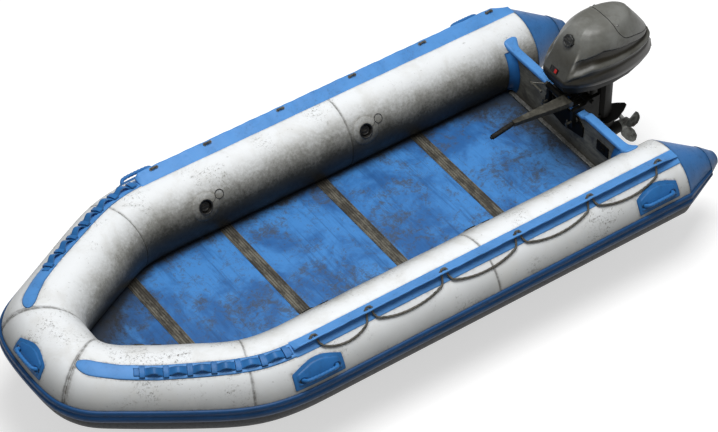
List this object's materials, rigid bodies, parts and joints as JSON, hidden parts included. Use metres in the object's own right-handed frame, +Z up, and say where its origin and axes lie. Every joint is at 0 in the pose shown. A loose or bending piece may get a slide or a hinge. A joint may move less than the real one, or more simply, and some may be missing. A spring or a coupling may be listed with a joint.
{
  "type": "inflatable boat",
  "caption": "Inflatable boat with side tubes joined at the bow, a boarded floor, a rigid transom, grab lines, lifting handles and a small tiller outboard motor.",
  "frame": {"origin": "under the middle of the bottom skin's keel line, its lowest point on the straight part", "axes": "+Z up, -Y towards the bow, +Y towards the stern and motor, +X to port"},
  "size_m": [1.8914, 4.1953, 1.13],
  "materials": {
    "black": "moulded, satin",
    "blue": "coated fabric and moulded rubber, satin",
    "board_blue": "painted, worn",
    "board_grey": "sealed plywood, matt",
    "bracket_grey": "painted casting",
    "cowl_grey": "moulded, satin",
    "dark_blue": "ribbed rubber, satin",
    "grip_rubber": "ribbed rubber, satin",
    "hull_black": "coated fabric, matt",
    "joint_grey": "worn, dull",
    "motor_black": "painted casting",
    "prop_grey": "cast, worn",
    "red": "moulded, gloss",
    "rope_grey": "braided rope",
    "steel": "bare steel",
    "tube_white": "coated fabric, matt, scuffed"
  },
  "bodies": {
    "hull": {"bottom_skin": "hull_black", "bow_handle": "blue", "bow_tube": "tube_white", "clamp_bracket": "bracket_grey", "floor_joint_1": "joint_grey", "floor_joint_2": "joint_grey", "floor_joint_3": "joint_grey", "floor_joint_4": "joint_grey", "floorboard_1": "board_blue", "floorboard_2": "board_blue", "floorboard_3": "board_blue", "floorboard_4": "board_blue", "floorboard_5": "board_blue", "foot_rail": "steel", "keel_tube": "hull_black", "motor_pad": "grip_rubber", "port_aft_handle": "blue", "port_aft_tube": "tube_white", "port_bow_side_tube": "tube_white", "port_bow_strip": "blue", "port_cone": "blue", "port_fore_handle": "blue", "port_fore_tube": "tube_white", "port_lifeline": "rope_grey", "port_lifeline_flap": "blue", "port_rub_strake": "dark_blue", "port_transom_fillet": "blue", "starboard_aft_handle": "blue", "starboard_aft_tube": "tube_white", "starboard_bow_side_tube": "tube_white", "starboard_bow_strip": "blue", "starboard_cone": "blue", "starboard_fore_handle": "blue", "starboard_fore_tube": "tube_white", "starboard_lifeline": "rope_grey", "starboard_lifeline_flap": "blue", "starboard_rub_strake": "dark_blue", "starboard_transom_fillet": "blue", "transom_board": "board_grey", "transom_cap": "blue", "transom_plate": "black"},
    "port_fore_tube_valve_cap": {"port_fore_tube_valve_cap": "black"},
    "port_aft_tube_valve_cap": {"port_aft_tube_valve_cap": "black"},
    "starboard_fore_tube_valve_cap": {"starboard_fore_tube_valve_cap": "black"},
    "starboard_aft_tube_valve_cap": {"starboard_aft_tube_valve_cap": "black"},
    "bow_valve_cap": {"bow_valve_cap": "black"},
    "port_clamp_screw": {"port_clamp_screw": "steel"},
    "starboard_clamp_screw": {"starboard_clamp_screw": "steel"},
    "swivel": {"swivel_bracket": "motor_black"},
    "motor": {"drive_leg": "motor_black", "cowling": "cowl_grey", "gearcase": "motor_black", "throttle_cable": "black"},
    "propeller": {"propeller": "prop_grey"},
    "tiller": {"tiller_arm": "bracket_grey"},
    "grip": {"throttle_grip": "grip_rubber"},
    "shift_lever": {"shift_lever": "bracket_grey"},
    "choke": {"choke_knob": "black"},
    "stop": {"stop_button": "red"}
  },
  "joints": [
    {"name": "port_fore_tube_valve_turn", "type": "hinge", "parent": "hull", "child": "port_fore_tube_valve_cap", "pos_m": [0.51799, -0.62268, 0.38129], "axis": [-0.891, 0.0016, 0.454], "range_deg": [0, 90]},
    {"name": "port_aft_tube_valve_turn", "type": "hinge", "parent": "hull", "child": "port_aft_tube_valve_cap", "pos_m": [0.51758, 0.46598, 0.38129], "axis": [-0.891, -0.0001, 0.454], "range_deg": [0, 90]},
    {"name": "starboard_fore_tube_valve_turn", "type": "hinge", "parent": "hull", "child": "starboard_fore_tube_valve_cap", "pos_m": [-0.51799, -0.62268, 0.38129], "axis": [0.891, 0.0016, 0.454], "range_deg": [0, 90]},
    {"name": "starboard_aft_tube_valve_turn", "type": "hinge", "parent": "hull", "child": "starboard_aft_tube_valve_cap", "pos_m": [-0.51758, 0.46598, 0.38129], "axis": [0.891, -0.0001, 0.454], "range_deg": [0, 90]},
    {"name": "bow_valve_turn", "type": "hinge", "parent": "hull", "child": "bow_valve_cap", "pos_m": [0.24074, -1.52727, 0.41909], "axis": [-0.7764, 0.4371, 0.454], "range_deg": [0, 90]},
    {"name": "port_clamp_screw_turn", "type": "hinge", "parent": "hull", "child": "port_clamp_screw", "pos_m": [0.112, 1.44, 0.385], "axis": [0, 1, 0], "range_deg": [-180, 180]},
    {"name": "starboard_clamp_screw_turn", "type": "hinge", "parent": "hull", "child": "starboard_clamp_screw", "pos_m": [-0.112, 1.44, 0.385], "axis": [0, 1, 0], "range_deg": [-180, 180]},
    {"name": "motor_tilt", "type": "hinge", "parent": "hull", "child": "swivel", "pos_m": [0, 1.612, 0.484], "axis": [1, 0, 0], "range_deg": [0, 16]},
    {"name": "motor_steer", "type": "hinge", "parent": "swivel", "child": "motor", "pos_m": [0, 1.712, 0.5], "axis": [0, 0, 1], "range_deg": [-40, 40]},
    {"name": "propeller_spin", "type": "hinge", "parent": "motor", "child": "propeller", "pos_m": [0, 1.945, 0.02], "axis": [0, 1, 0], "continuous": true},
    {"name": "tiller_fold", "type": "hinge", "parent": "motor", "child": "tiller", "pos_m": [0.062, 1.462, 0.531], "axis": [-1, 0, 0], "range_deg": [0, 45]},
    {"name": "throttle_twist", "type": "hinge", "parent": "tiller", "child": "grip", "pos_m": [0.062, 1.0917, 0.539], "axis": [0, -0.9816, -0.1908], "range_deg": [-45, 45]},
    {"name": "shift_turn", "type": "hinge", "parent": "motor", "child": "shift_lever", "pos_m": [-0.093, 1.462, 0.531], "axis": [1, 0, 0], "range_deg": [-20, 20]},
    {"name": "choke_pull", "type": "slide", "parent": "motor", "child": "choke", "axis": [0, -0.8803, 0.4745], "range_m": [0, 0.018]},
    {"name": "stop_press", "type": "slide", "parent": "motor", "child": "stop", "axis": [0, 0.8803, -0.4745], "range_m": [0, 0.0028], "stiffness_N_per_m": 300, "springref_m": -0.003}
  ]
}
